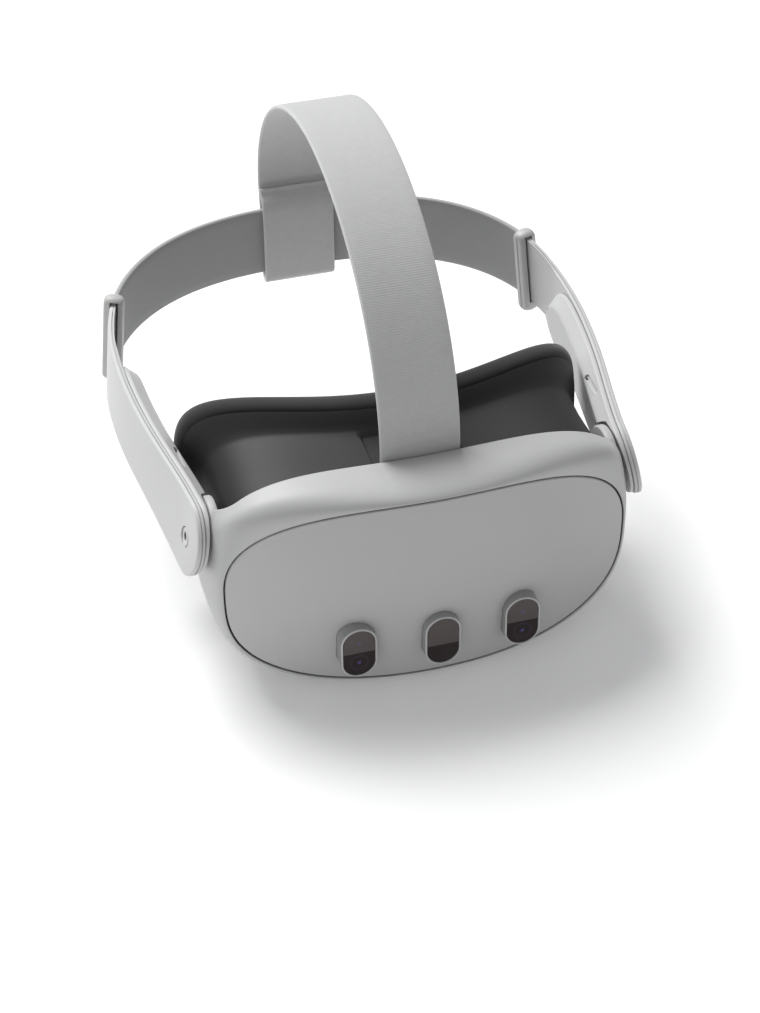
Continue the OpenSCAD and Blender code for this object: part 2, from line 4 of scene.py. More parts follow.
import bmesh
import bpy
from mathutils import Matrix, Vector


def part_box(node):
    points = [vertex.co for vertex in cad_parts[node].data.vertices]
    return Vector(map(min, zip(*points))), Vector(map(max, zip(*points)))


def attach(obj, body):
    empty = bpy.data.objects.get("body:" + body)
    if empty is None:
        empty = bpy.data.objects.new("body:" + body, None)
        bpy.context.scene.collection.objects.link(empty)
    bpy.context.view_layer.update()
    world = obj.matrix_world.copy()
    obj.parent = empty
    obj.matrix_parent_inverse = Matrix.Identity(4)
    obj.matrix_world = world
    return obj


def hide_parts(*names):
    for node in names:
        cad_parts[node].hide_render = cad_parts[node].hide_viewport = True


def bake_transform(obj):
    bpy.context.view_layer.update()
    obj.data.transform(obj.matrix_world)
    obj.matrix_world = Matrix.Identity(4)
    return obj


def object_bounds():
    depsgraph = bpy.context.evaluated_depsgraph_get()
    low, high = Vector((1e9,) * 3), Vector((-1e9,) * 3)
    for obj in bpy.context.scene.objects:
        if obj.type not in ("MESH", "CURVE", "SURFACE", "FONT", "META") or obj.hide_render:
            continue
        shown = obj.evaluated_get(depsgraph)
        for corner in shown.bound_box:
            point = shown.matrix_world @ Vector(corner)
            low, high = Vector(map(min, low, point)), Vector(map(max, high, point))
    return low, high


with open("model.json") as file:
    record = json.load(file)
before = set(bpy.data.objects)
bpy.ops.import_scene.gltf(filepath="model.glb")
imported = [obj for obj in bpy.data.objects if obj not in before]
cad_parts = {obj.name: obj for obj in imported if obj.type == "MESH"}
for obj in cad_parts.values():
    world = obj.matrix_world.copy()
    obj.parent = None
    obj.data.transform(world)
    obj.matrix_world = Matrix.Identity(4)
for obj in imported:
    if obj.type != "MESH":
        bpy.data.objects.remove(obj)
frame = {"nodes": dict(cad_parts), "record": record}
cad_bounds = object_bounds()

# Shapes are worked out in visor millimetres: x to the right as seen from the front, y back from
# the front of the cover, z up from the floor. place() turns them into the frame's metres.
MM = 0.001
FRONT_Y = min(corner[1] for corner in cad_bounds)
SIDES = {"left": -1, "right": 1}
scene = bpy.context.scene


def place(p):
    return Vector((p[0] * MM, p[1] * MM + FRONT_Y, p[2] * MM))


def node_mid(node):
    """The middle of a CAD node, in visor millimetres."""
    low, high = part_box(node)
    mid = (low + high) / 2
    return mid.x / MM, (mid.y - FRONT_Y) / MM, mid.z / MM


# ---- Curves shared with the CAD ---------------------------------------------------------------

AXIS_Z = 47
SEAM = 0.35
WALL = 2.2
SHELL_DEPTH = 52
SHELL_TOP_DEPTH = 28.7
COVER_BACK = 3
# Outlines: half width, top, bottom, top power, bottom power, dip in the middle of the top.
COVER_RIM = (76.6, 40.6, 43.4, 2.3, 3.1, 3.4)
SHELL_RIM = (80.5, 46.5, AXIS_Z + 0.3, 3.4, 3.4, 5.3)
HINGE_Y = 40
HINGE_Z = 61.5
HINGE_X = 85.8
HINGE_R = 14.5
HEAD_X = 84
# How far the strap's face leans inwards per millimetre of height: on the band and at the hinge.
LEAN = 0.095
HINGE_LEAN = 0.2
SLAT_T = 3
BAND_HALF_W = 94.8
BAND_TURN_Y = 125
BAND_BACK = 84.2
BAND_POWER = 2.5
STRAP_START_Y = 163.2
STRAP_H = 30.5


def ramp(t):
    t = max(0, min(1, t))
    return t * t * (3 - 2 * t)


def mix(a, b, t):
    return a + (b - a) * t


def mix_outline(a, b, t):
    return tuple(mix(u, v, t) for u, v in zip(a, b))


def shrink(o, d):
    return (o[0] - d, o[1] - d, o[2] - d) + tuple(o[3:])


def rim(o, phi):
    """The point (x, z) of an outline in the direction phi."""
    half_w, top, bottom, top_power, bottom_power, dip = o
    c, s = math.cos(phi), math.sin(phi)
    height, power = (top, top_power) if s >= 0 else (bottom, bottom_power)
    r = (abs(c / half_w) ** power + abs(s / height) ** power) ** (-1 / power)
    x = r * c
    sag = dip * max(0, 1 - (x / half_w) ** 2) ** 2 * ramp(3 * s)
    return x, AXIS_Z + r * s - sag


def angles(n):
    return [2 * math.pi * i / n for i in range(n)]


def front_y(x, z):
    return COVER_BACK + x * x / 330 + (z - AXIS_Z) ** 2 / 450


def rear_y(z):
    return mix(SHELL_DEPTH, SHELL_TOP_DEPTH, ramp((z - 62) / 21))


def band_x(y):
    """Outer face of the strap band at the depth y."""
    if y < BAND_TURN_Y:
        t = (y - 36) / (BAND_TURN_Y - 36)
        ease = 1.5 * t if t < 0 else t * (1.5 - 0.5 * t * t)
        return HINGE_X + (BAND_HALF_W - HINGE_X) * (ramp(t) + ease) / 2
    v = (y - BAND_TURN_Y) / (BAND_BACK + 1.1)
    return BAND_HALF_W * max(0, 1 - v ** BAND_POWER) ** (1 / BAND_POWER)


def arm_lean(y):
    """How far the arm's face leans inwards per millimetre of height."""
    return mix(HINGE_LEAN, LEAN, ramp((y - 34) / 60))


def band_z(y):
    return HINGE_Z + 0.045 * (min(y, 150) - HINGE_Y) + 0.12 * max(0, y - 150)


# ---- Mesh tools -------------------------------------------------------------------------------

def add_object(name, points, faces, angle=35, origin=None):
    """Links a mesh made of visor-millimetre points, shaded smooth below the given angle."""
    base = place(origin) if origin else Vector((0, 0, 0))
    mesh = bpy.data.meshes.new(name)
    mesh.from_pydata([place(p) - base for p in points], [], faces)
    obj = bpy.data.objects.new(name, mesh)
    obj.location = base
    scene.collection.objects.link(obj)
    tidy_mesh(obj, angle)
    return obj


def tidy_mesh(obj, angle=35):
    bm = bmesh.new()
    bm.from_mesh(obj.data)
    bmesh.ops.remove_doubles(bm, verts=bm.verts, dist=0.00001)
    bmesh.ops.dissolve_degenerate(bm, edges=bm.edges, dist=0.000005)
    bmesh.ops.recalc_face_normals(bm, faces=bm.faces)
    bm.to_mesh(obj.data)
    bm.free()
    obj.data.shade_smooth()
    obj.data.set_sharp_from_angle(angle=math.radians(angle))


def ring_faces(count, size, looped):
    faces = []
    for j in range(count if looped else count - 1):
        a, b = j * size, (j + 1) % count * size
        for i in range(size):
            k = (i + 1) % size
            faces.append((a + i, a + k, b + k, b + i))
    return faces


def loft(name, rings, looped=False, angle=35, origin=None):
    """A skin over rings of points, closed into a loop or with a cap at each end."""
    size = len(rings[0])
    faces = ring_faces(len(rings), size, looped)
    if not looped:
        last = (len(rings) - 1) * size
        faces += [tuple(range(size)), tuple(range(last, last + size))]
    return add_object(name, [p for ring in rings for p in ring], faces, angle, origin)


def apply_modifiers(obj):
    graph = bpy.context.evaluated_depsgraph_get()
    mesh = bpy.data.meshes.new_from_object(obj.evaluated_get(graph))
    old = obj.data
    obj.modifiers.clear()
    obj.data = mesh
    bpy.data.meshes.remove(old)


def cut(obj, *cutters, angle=35):
    """Takes the cutters out of obj, and removes them."""
    for cutter in cutters:
        boolean = obj.modifiers.new("cut", "BOOLEAN")
        boolean.operation = "DIFFERENCE"
        boolean.solver = "EXACT"
        boolean.object = cutter
    apply_modifiers(obj)
    for cutter in cutters:
        bpy.data.objects.remove(cutter)
    tidy_mesh(obj, angle)


def capsule(w, h, steps=16):
    """Points (x, z) of an upright bar with round ends."""
    points = []
    for end in (0, 1):
        for i in range(steps + 1):
            a = math.pi * (end + i / steps)
            shift = (h - w) / 2 * (1 if end == 0 else -1)
            points.append((w / 2 * math.cos(a), shift + w / 2 * math.sin(a)))
    return points


def rounded(w, h, r, steps=8):
    """Points (x, z) of a bar w wide and h high with corners of radius r."""
    points = []
    for k, (sx, sz) in enumerate(((1, 1), (-1, 1), (-1, -1), (1, -1))):
        for i in range(steps + 1):
            a = math.pi / 2 * (k + i / steps)
            points.append((sx * (w / 2 - r) + r * math.cos(a), sz * (h / 2 - r) + r * math.sin(a)))
    return points


def capsule_loft(name, centre, w, h, profile, angle=35, looped=False, origin=None):
    """An upright bar along y: profile lists (y, inset)."""
    x0, y0, z0 = centre
    rings = []
    for y, inset in profile:
        rings.append([(x0 + x, y0 + y, z0 + z)
                      for x, z in capsule(w - 2 * inset, h - 2 * inset)])
    return loft(name, rings, looped, angle, origin)


def lathe(name, centre, axis, profile, steps=72, angle=35, looped=False):
    """Turns a profile of (distance along the axis, radius) round an axis 0, 1 or 2."""
    u, v = [i for i in range(3) if i != axis]
    rings = []
    for along, radius in profile:
        ring = []
        for a in angles(steps):
            p = list(centre)
            p[axis] += along
            p[u] += radius * math.cos(a)
            p[v] += radius * math.sin(a)
            ring.append(p)
        rings.append(ring)
    return loft(name, rings, looped, angle)


def block(name, low, high):
    points = [(x, y, z) for x in (low[0], high[0]) for y in (low[1], high[1])
              for z in (low[2], high[2])]
    faces = [(0, 1, 3, 2), (4, 6, 7, 5), (0, 4, 5, 1), (2, 3, 7, 6), (0, 2, 6, 4), (1, 5, 7, 3)]
    return add_object(name, points, faces)


def soften(obj, width):
    """Rounds the sharp edges of obj."""
    bevel = obj.modifiers.new("bevel", "BEVEL")
    bevel.width = width * MM
    bevel.segments = 3
    bevel.limit_method = "ANGLE"
    bevel.angle_limit = math.radians(30)
    apply_modifiers(obj)
    tidy_mesh(obj)


# ---- Materials --------------------------------------------------------------------------------

class Finish:
    """A procedural material: a Principled shader with colour and bump built from nodes."""

    def __init__(self, name, roughness, **constants):
        self.material = bpy.data.materials.new(name)
        self.material.use_nodes = True
        tree = self.material.node_tree
        self.nodes, self.links = tree.nodes, tree.links
        self.shader = self.nodes["Principled BSDF"]
        self.shader.inputs["Roughness"].default_value = roughness
        for socket, value in constants.items():
            self.shader.inputs[socket.replace("_", " ")].default_value = value
        self.coords = self.nodes.new("ShaderNodeTexCoord").outputs["Object"]

    def node(self, kind, inputs=(), **settings):
        node = self.nodes.new(kind)
        for key, value in settings.items():
            setattr(node, key, value)
        for key, value in dict(inputs).items():
            if isinstance(value, bpy.types.NodeSocket):
                self.links.new(value, node.inputs[key])
            else:
                node.inputs[key].default_value = value
        return node

    def math(self, operation, a, b=0.0):
        return self.node("ShaderNodeMath", {0: a, 1: b}, operation=operation).outputs[0]

    def noise(self, scale, detail, stretch=(1, 1, 1)):
        vector = self.coords
        if stretch != (1, 1, 1):
            vector = self.node("ShaderNodeMapping", {"Vector": vector, "Scale": stretch}).outputs[0]
        node = self.node("ShaderNodeTexNoise", {"Vector": vector, "Scale": scale, "Detail": detail})
        return node.outputs["Fac"]

    def attribute(self, name):
        return self.node("ShaderNodeAttribute", attribute_name=name).outputs["Fac"]

    def spread(self, value, low, high):
        """Maps low..high to 0..1."""
        node = self.node("ShaderNodeMapRange", {"Value": value, "From Min": low, "From Max": high},
                         interpolation_type="SMOOTHSTEP")
        return node.outputs["Result"]

    def blend(self, factor, a, b):
        """Mixes two colours, each a socket or a plain colour."""
        node = self.node("ShaderNodeMix", data_type="RGBA")
        if isinstance(factor, bpy.types.NodeSocket):
            self.links.new(factor, node.inputs[0])
        else:
            node.inputs[0].default_value = factor
        for socket, value in ((node.inputs[6], a), (node.inputs[7], b)):
            if isinstance(value, bpy.types.NodeSocket):
                self.links.new(value, socket)
            else:
                socket.default_value = (*value, 1)
        return node.outputs[2]

    def color(self, socket):
        self.links.new(socket, self.shader.inputs["Base Color"])

    def roughness(self, factor, low, high):
        node = self.node("ShaderNodeMapRange", {"Value": factor, "To Min": low, "To Max": high})
        self.links.new(node.outputs["Result"], self.shader.inputs["Roughness"])

    def bump(self, height, distance, strength):
        node = self.node("ShaderNodeBump", {"Height": height, "Distance": distance,
                                            "Strength": strength})
        self.links.new(node.outputs["Normal"], self.shader.inputs["Normal"])


def grey(v, warm=0.0):
    """A grey of value v, tinted towards red by the share warm."""
    return v * (1 + warm), v, v * (1 - warm)


def scaled(color, factor):
    return tuple(min(1, c * factor) for c in color)


def moulded(name, color, roughness=0.5, grain=0.00002, mottle=0.05, wear=0.12):
    """Fine-grained moulded plastic: slight mottling, spark-eroded grain and paler worn edges."""
    f = Finish(name, roughness, Specular_IOR_Level=0.35)
    cloudy = f.noise(22, 4)
    fine = f.noise(2600, 2)
    base = f.blend(cloudy, scaled(color, 1 - mottle), scaled(color, 1 + mottle))
    edges = f.node("ShaderNodeNewGeometry").outputs["Pointiness"]
    worn = f.math("MULTIPLY", f.spread(edges, 0.53, 0.62), wear)
    f.color(f.blend(worn, base, scaled(color, 1.35)))
    f.roughness(fine, roughness - 0.06, roughness + 0.08)
    f.bump(fine, grain, 0.6)
    return f.material


def brushed(name, color, roughness=0.3):
    f = Finish(name, roughness, Metallic=1.0)
    streaks = f.noise(900, 3, (0.06, 1, 1))
    f.color(f.blend(streaks, scaled(color, 0.85), scaled(color, 1.1)))
    f.roughness(streaks, roughness - 0.08, roughness + 0.12)
    f.bump(streaks, 0.00001, 0.4)
    return f.material


def woven(name, color, pitch=0.9, relief=0.00012, contrast=0.1, edge=1.12, half_w=15.1):
    """Narrow-loomed webbing: transverse ribs broken up by the warp, with a paler selvedge."""
    f = Finish(name, 0.85, Specular_IOR_Level=0.2, Sheen_Weight=0.25, Sheen_Roughness=0.5)
    along, across = f.attribute("along"), f.attribute("across")
    flaws = f.noise(350, 3)
    warp = f.math("SINE", f.math("MULTIPLY", across, 2 * math.pi / 0.55))
    weft = f.math("SINE", f.math("MULTIPLY", along, 2 * math.pi / pitch))
    weave = f.math("MULTIPLY", f.math("ADD", f.math("MULTIPLY", warp, weft), weft), 0.25)
    weave = f.math("ADD", weave, 0.5)
    rough = f.math("ADD", f.math("MULTIPLY", weave, 0.6), f.math("MULTIPLY", flaws, 0.6))
    cloudy = f.noise(30, 4)
    base = f.blend(rough, scaled(color, 1 - contrast), scaled(color, 1 + contrast))
    base = f.blend(f.math("MULTIPLY", cloudy, 0.25), base, scaled(color, 0.9))
    rim_fac = f.spread(f.math("ABSOLUTE", across), half_w - 0.9, half_w - 0.3)
    f.color(f.blend(rim_fac, base, scaled(color, edge)))
    f.bump(rough, relief, 0.8)
    return f.material


def knitted(name, color, relief=0.00005, scale=1900):
    """Fine knit over foam: soft sheen, tiny loops and slow shade changes."""
    f = Finish(name, 0.9, Specular_IOR_Level=0.25, Sheen_Weight=0.35, Sheen_Roughness=0.45)
    loops = f.node("ShaderNodeTexVoronoi", {"Vector": f.coords, "Scale": scale}).outputs["Distance"]
    cloudy = f.noise(35, 4)
    base = f.blend(loops, scaled(color, 1.15), scaled(color, 0.8))
    f.color(f.blend(f.math("MULTIPLY", cloudy, 0.3), base, scaled(color, 1.3)))
    f.bump(loops, relief, 0.7)
    return f.material


MATERIALS = {
    "shell_plastic": moulded("shell_plastic", grey(0.49), 0.42),
    "cover_plastic": moulded("cover_plastic", grey(0.49, 0.006), 0.46),
    "seal_rubber": moulded("seal_rubber", grey(0.03), 0.7, 0.00003),
    "bezel_plastic": moulded("bezel_plastic", grey(0.24), 0.4),
    "camera_black": moulded("camera_black", grey(0.01), 0.15, 0.00001),
    "chassis_metal": brushed("chassis_metal", grey(0.45), 0.45),
    "circuit_board": moulded("circuit_board", (0.02, 0.11, 0.05), 0.35),
    "inner_black": moulded("inner_black", grey(0.022), 0.55, 0.00003),
    "battery_wrap": moulded("battery_wrap", (0.05, 0.055, 0.065), 0.35),
    "steel": brushed("steel", grey(0.6), 0.28),
    "contact_gold": brushed("contact_gold", (0.78, 0.55, 0.22), 0.25),
    "button_plastic": moulded("button_plastic", grey(0.56), 0.4),
    "interface_plastic": moulded("interface_plastic", grey(0.022), 0.55, 0.00003, 0.08, 0.05),
    "face_foam": knitted("face_foam", grey(0.040)),
    "arm_plastic": moulded("arm_plastic", grey(0.56), 0.42),
    "slider_plastic": moulded("slider_plastic", grey(0.50, 0.01), 0.38),
    "band_elastic": woven("band_elastic", grey(0.34), 0.7, 0.00004, 0.04, 1.25, STRAP_H / 2),
    "webbing": woven("webbing", grey(0.51)),
}


def display_glass():
    """Dark display glass with a faint grid of pixels under a glossy face."""
    f = Finish("display_glass", 0.08, Specular_IOR_Level=0.6, Coat_Weight=0.5)
    cells = f.node("ShaderNodeTexVoronoi", {"Vector": f.coords, "Scale": 1800}).outputs["Distance"]
    f.color(f.blend(cells, (0.015, 0.015, 0.035), (0.004, 0.004, 0.012)))
    return f.material


def lens_glass():
    """Coated eyepiece glass with a deep, slightly cloudy violet tint."""
    f = Finish("lens_glass", 0.04, Specular_IOR_Level=0.7, Coat_Weight=1.0, Coat_Roughness=0.03)
    cloudy = f.noise(60, 2)
    f.color(f.blend(cloudy, (0.012, 0.012, 0.02), (0.03, 0.022, 0.05)))
    return f.material


MATERIALS["display_glass"] = display_glass()
MATERIALS["lens_glass"] = lens_glass()

SLOT_OF = {row["node"]: row["material_slot"] for row in frame["record"]["subparts"]}


def dress(obj, slot, body, *nodes):
    """Gives a finished piece its material and its body, and hides the CAD nodes it stands for."""
    obj.data.materials.clear()
    obj.data.materials.append(MATERIALS[slot])
    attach(obj, body)
    if nodes:
        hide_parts(*nodes)


# ---- Visor casing -----------------------------------------------------------------------------

# Points in each ring round the visor, and the share of the shell's depth that its round takes.
RING = 264
ROUND_SHARE = 0.625


def shell_ring(t, inset=0.0, push=0.0):
    """Ring of the shell at the depth fraction t from the seam to its rear edge."""
    turn = math.pi / 2 * min(1, t / ROUND_SHARE)
    bulge = math.sin(turn)
    outline = shrink(mix_outline(COVER_RIM, SHELL_RIM, bulge), inset - SEAM * (1 - bulge))
    depth = ROUND_SHARE * (1 - math.cos(turn)) if t < ROUND_SHARE else t
    ring = []
    for phi in angles(RING):
        x, z = rim(outline, phi)
        start = front_y(*rim(COVER_RIM, phi)) + inset * 1.2
        ring.append((x, mix(start, rear_y(z + inset), depth) + push, z))
    return ring


def rim_ring(o, push):
    """Ring on an outline, pushed back from the cover's front face."""
    ring = []
    for phi in angles(RING):
        x, z = rim(o, phi)
        ring.append((x, front_y(*rim(COVER_RIM, phi)) + push, z))
    return ring


def make_shell():
    lip = WALL / 2
    mouth = shrink(COVER_RIM, -SEAM)
    rings = [rim_ring(mouth, 0.5), rim_ring(mouth, 0.15)]
    rings += [shell_ring(t) for t in (0.006, 0.03, 0.06, 0.1, 0.15, 0.2, 0.25, 0.3, 0.35, 0.4, 0.45,
                                      0.5, 0.56, 0.625, 0.7, 0.8, 0.9)]
    for i in range(9):
        a = math.pi * i / 8
        rings.append(shell_ring(1, lip * (1 - math.cos(a)), lip * (math.sin(a) - 1)))
    rings += [shell_ring(t, WALL) for t in (0.8, 0.6, 0.45, 0.3, 0.2, 0.1, 0.03)]
    rings.append(rim_ring(mouth, 2.6))
    shell = loft("shell", rings, looped=True)
    # Openings for the spacing wheel and the charging pads, the flat foot, and the two buttons.
    wheel_y = node_mid("ipd_wheel")[1]
    cutters = [block("cut", (-7, wheel_y - 2.7, -3), (7, wheel_y + 2.7, 8)),
               block("cut", (-10, 44, -3), (10, 47.4, 3.6)),
               block("cut", (-90, -5, -9), (90, 60, 0))]
    for x, half in ((-40, 6), (40, 9)):
        cutters.append(block("cut", (x - half, 32.5, -3), (x + half, 39.5, 7)))
    cut(shell, *cutters)
    dress(shell, "shell_plastic", "visor", "visor_shell")


def cover_ring(f, inset, back):
    """Ring of the cover's face, scaled by f about its middle and pushed back."""
    ring = []
    for phi in angles(RING):
        x, z = rim(shrink(COVER_RIM, SEAM + inset), phi)
        x, z = x * f, AXIS_Z + (z - AXIS_Z) * f
        ring.append((x, front_y(x, z) + back, z))
    return ring


PODS = {"left": -1, "center": 0, "right": 1}
POD_W = 13.8
POD_H = 22.8
POD_GAP = 0.12


def make_cover():
    rings = [cover_ring(0.004 + 0.98 * i / 30, 0, 0) for i in range(31)]
    rings += [cover_ring(1, inset, back) for inset, back in
              ((0.5, 0), (0.25, 0.03), (0.08, 0.14), (0, 0.35), (0, 2))]
    rings += [cover_ring(f, 0, 2) for f in (0.8, 0.5, 0.2, 0.01)]
    cover = loft("cover", rings)
    cutters = []
    for name in PODS:
        x, _, z = node_mid(f"sensor_bezel_{name}")
        cutters.append(capsule_loft("cut", (x, 0, z), POD_W + 2 * POD_GAP, POD_H + 2 * POD_GAP,
                                    [(-9, 0), (30, 0)]))
    cut(cover, *cutters)
    dress(cover, "cover_plastic", "visor", "front_cover")
    seal = SEAM - 0.05
    gap = [rim_ring(shrink(COVER_RIM, d), y)
           for d, y in ((seal, 0.7), (-seal, 0.7), (-seal, 1.9), (seal, 1.9))]
    dress(loft("cover_seam", gap, looped=True), "seal_rubber", "visor", "front_gasket")


# ---- Sensor pods ------------------------------------------------------------------------------

def window_glass(name, split_z, painted_glints):
    """Tinted window: warm grey above, near black below, with painted lens reflections: a faint
    blue-violet glint and ring where each camera lens sits behind the glass.
    """
    f = Finish(name, 0.3, Specular_IOR_Level=0.25, Coat_Weight=0.12, Coat_Roughness=0.1)
    split = f.node("ShaderNodeSeparateXYZ", {"Vector": f.coords})
    height = split.outputs["Z"]
    haze = f.noise(180, 3)
    upper = f.blend(haze, (0.085, 0.070, 0.067), (0.100, 0.084, 0.080))
    lower = f.blend(haze, (0.011, 0.005, 0.0055), (0.015, 0.007, 0.0075))
    color = f.blend(f.spread(height, split_z - 0.00007, split_z + 0.00007), lower, upper)
    # Each entry paints the reflection off one camera lens: a blue-violet glint spot and a faint ring
    # round it, given as height, strength and ring radius in metres.
    for z, strength, ring in painted_glints:
        centre = f.node("ShaderNodeCombineXYZ", {"X": split.outputs["X"], "Y": 0.0,
                                                 "Z": f.math("SUBTRACT", height, z)})
        away = f.node("ShaderNodeVectorMath", {0: centre.outputs[0]}, operation="LENGTH")
        painted_glint_spot = f.spread(away.outputs["Value"], 0.0011, 0.0001)
        color = f.blend(f.math("MULTIPLY", painted_glint_spot, strength), color, (0.11, 0.09, 0.34))
        inner = f.spread(away.outputs["Value"], ring - 0.0006, ring)
        outer = f.spread(away.outputs["Value"], ring + 0.0006, ring)
        painted_glint_ring = f.math("MULTIPLY", f.math("MULTIPLY", inner, outer), 0.25 * strength)
        color = f.blend(painted_glint_ring, color, (0.10, 0.06, 0.16))
    f.color(color)
    return f.material


def bezel_plastic():
    """Grey pod wall with a paler front rim."""
    f = Finish("pod_bezel", 0.42, Specular_IOR_Level=0.35)
    depth = f.node("ShaderNodeSeparateXYZ", {"Vector": f.coords}).outputs["Y"]
    fine = f.noise(2400, 2)
    wall = f.blend(f.noise(60, 3), grey(0.30), grey(0.34))
    f.color(f.blend(f.spread(depth, 0.0006, 0.0002), wall, grey(0.52)))
    f.roughness(fine, 0.38, 0.5)
    f.bump(fine, 0.00002, 0.5)
    return f.material


def make_pods():
    outer = bezel_plastic()
    # Painted lens reflections for the outer pods: height, strength and ring radius of each glint.
    painted_glints = [(0.0045, 0.45, 0.0034), (-0.0045, 0.7, 0.0033)]
    glass = {0: window_glass("pod_window_plain", -0.0018, []),
             1: window_glass("pod_window_painted_reflection", 0.0001, painted_glints)}
    for name, k in PODS.items():
        x, _, z = node_mid(f"sensor_bezel_{name}")
        front = (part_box(f"sensor_bezel_{name}")[0].y - FRONT_Y) / MM
        centre = (x, front, z)
        profile = [(9, 0), (0.7, 0), (0.3, 0.07), (0.08, 0.25), (0, 0.48), (0.06, 0.66),
                   (0.25, 0.76), (1.1, 0.78), (1.2, 1.5), (9, 1.5)]
        bezel = capsule_loft(f"pod_bezel_{name}", centre, POD_W, POD_H, profile, 40, True, centre)
        dress(bezel, "bezel_plastic", "visor", f"sensor_bezel_{name}")
        bezel.data.materials[0] = outer
        profile = [(1.05, 0.85), (0.45, 0.85), (0.3, 0.95), (0.24, 1.2)]
        window = capsule_loft(f"pod_window_{name}", centre, POD_W, POD_H, profile, 40,
                              origin=centre)
        window.data.materials.append(glass[abs(k)])
        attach(window, "visor")
        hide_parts(f"sensor_window_{name}")


# ---- Side arms --------------------------------------------------------------------------------

def arm_plan(stations):
    """Closed outline (y, dz) of an arm seen from the side: its top from front to back, then its
    underside back again."""
    top = [(y, half) for y, half in stations]
    return top + [(y, -half) for y, half in reversed(stations)]


def inset_point(plan, i, d):
    """Point i of the outline, moved inwards by d."""
    (y0, z0), (y1, z1) = plan[i - 1], plan[(i + 1) % len(plan)]
    ty, tz = y1 - y0, z1 - z0
    size = math.hypot(ty, tz) or 1
    return plan[i][0] + d * tz / size, plan[i][1] - d * ty / size


def arm_piece(name, side, stations, profile):
    """Layers the outline from the outer face inwards: profile lists functions of y for the depth
    and the inset, and the share of the inset that the underside takes."""
    plan = arm_plan(stations)
    n = len(plan)
    rings = []
    for depth, inset, below in profile:
        ring = []
        for i, (y_full, _) in enumerate(plan):
            d = inset(y_full) * (1 if i < n // 2 else below)
            y, dz = inset_point(plan, i, d)
            x = band_x(y) - depth(y_full) - arm_lean(y) * dz
            lift = ramp((y_full - HINGE_Y) / 12)
            ring.append((side * x, y, mix(HINGE_Z, band_z(y), lift) + dz))
        rings.append(ring)
    faces = ring_faces(len(rings), n, False)
    last = (len(rings) - 1) * n
    for i in range(n // 2 - 1):
        quad = (i, i + 1, n - 2 - i, n - 1 - i)
        faces += [quad, tuple(last + k for k in quad)]
    return add_object(name, [p for ring in rings for p in ring], faces, 38)


def round_end(radius, steps=16):
    """Stations (y, half height) of the arm's round front end."""
    ends = [math.pi / 2 * (i + 0.35) / steps for i in range(steps)]
    return [(HINGE_Y - radius * math.cos(a), radius * math.sin(a)) for a in ends]


# The inner arm: where it ends, how thick it is, and its room for the visor's ear.
ARM_END_Y = 137.5
INNER_T = 2.2
NECK_ROOM = HINGE_X - SLAT_T - INNER_T
NECK_ROOM_R = 14.4
PIN_BORE_R = 2.12
HEAD_SEAT_R = 3.95


def swell(y):
    """How much deeper the inner arm gets behind the hinge."""
    return 4.5 * ramp((y - 30) / 8)


def inner_half(y):
    """Half height of the inner arm."""
    return 13.9 * math.sqrt(max(0.04, 1 - (max(0, y - 112) / (ARM_END_Y - 112)) ** 3))


def pin_bore(side):
    return lathe("cut", (side * 70, HINGE_Y, HINGE_Z), 0, [(0, PIN_BORE_R), (side * 25, PIN_BORE_R)])


def make_arms():
    outer_stations = round_end(HINGE_R)
    outer_stations += [(y, HINGE_R + 0.8 * ramp((y - 138) / 20))
                       for y in [*range(42, 162, 3), 162.8]]
    rear = [ARM_END_Y - 22 * (1 - i / 14) ** 1.8 for i in range(1, 15)]
    inner_stations = round_end(HINGE_R - 0.6)
    inner_stations += [(y, inner_half(y)) for y in [*range(42, 112, 2), *rear]]

    def level(value):
        return lambda y: value

    def at(depth):
        return lambda y: min(depth, SLAT_T - 0.6 * ramp((y - 136) / 10) - 0.001 * (SLAT_T - depth))

    def slope(share, round_off=0.0):
        """Depth and inset along the bevel of the inner arm's upper edge."""
        return (lambda y: SLAT_T + INNER_T + share * swell(y),
                lambda y: 0.35 + 0.8 * share * swell(y) + round_off, 0.35)

    outer_profile = [(at(d), level(e), 1) for d, e in
                     ((0, 0.9), (0.06, 0.55), (0.22, 0.22), (0.5, 0.05), (0.8, 0), (1.45, 0),
                      (1.5, 0.55), (1.85, 0.55), (1.9, 0), (2.6, 0), (2.85, 0.1), (3, 0.55))]
    inner_profile = [(level(SLAT_T + d), level(e), 1) for d, e in
                     ((0.06, 0.9), (0.3, 0.9), (0.34, 0.1), (0.6, 0), (1.7, 0), (2.0, 0.1))]
    inner_profile += [slope(0.02), slope(0.3), slope(0.7), slope(0.88), slope(0.95, 0.1),
                      slope(0.99, 0.35), slope(1, 0.8)]
    for name, side in SIDES.items():
        body = f"{name}_arm"
        head_seat = on_face("cut", side, [(HEAD_X - 0.4, HEAD_SEAT_R), (HEAD_X + 9, HEAD_SEAT_R)])
        outer = arm_piece(f"outer_arm_{name}", side, outer_stations, outer_profile)
        cut(outer, pin_bore(side), head_seat, angle=38)
        dress(outer, "arm_plastic", body, f"strap_arm_{name}")
        port = node_mid("audio_jack" if side > 0 else "usb_c_port")
        if side > 0:
            socket = lathe("cut", port, 2, [(-20, 2.32), (7.4, 2.32)])
        else:
            socket = block("cut", (port[0] - 1.65, port[1] - 4.55, 30),
                           (port[0] + 1.65, port[1] + 4.55, 54.4))
        neck_room = on_face("cut", side, [(60, NECK_ROOM_R), (NECK_ROOM, NECK_ROOM_R)])
        inner = arm_piece(f"inner_arm_{name}", side, inner_stations, inner_profile)
        cut(inner, pin_bore(side), socket, sound_slot(side), neck_room, hinge_pocket(side), angle=38)
        dress(inner, "arm_plastic", body, f"arm_shell_{name}")
        # A near-black disc at the rear end of the sound slot: painted shade standing for the dark
        # inside the outlet's opening.
        outlet_shade = lathe(f"painted_outlet_shade_{name}", (side * 81.4, 75.9, 72.6), 2,
                       [(0, 0.1), (0, 0.8), (1.1, 0.8), (1.2, 0.7), (0.9, 0.1)], 32)
        dress(outlet_shade, "inner_black", body)


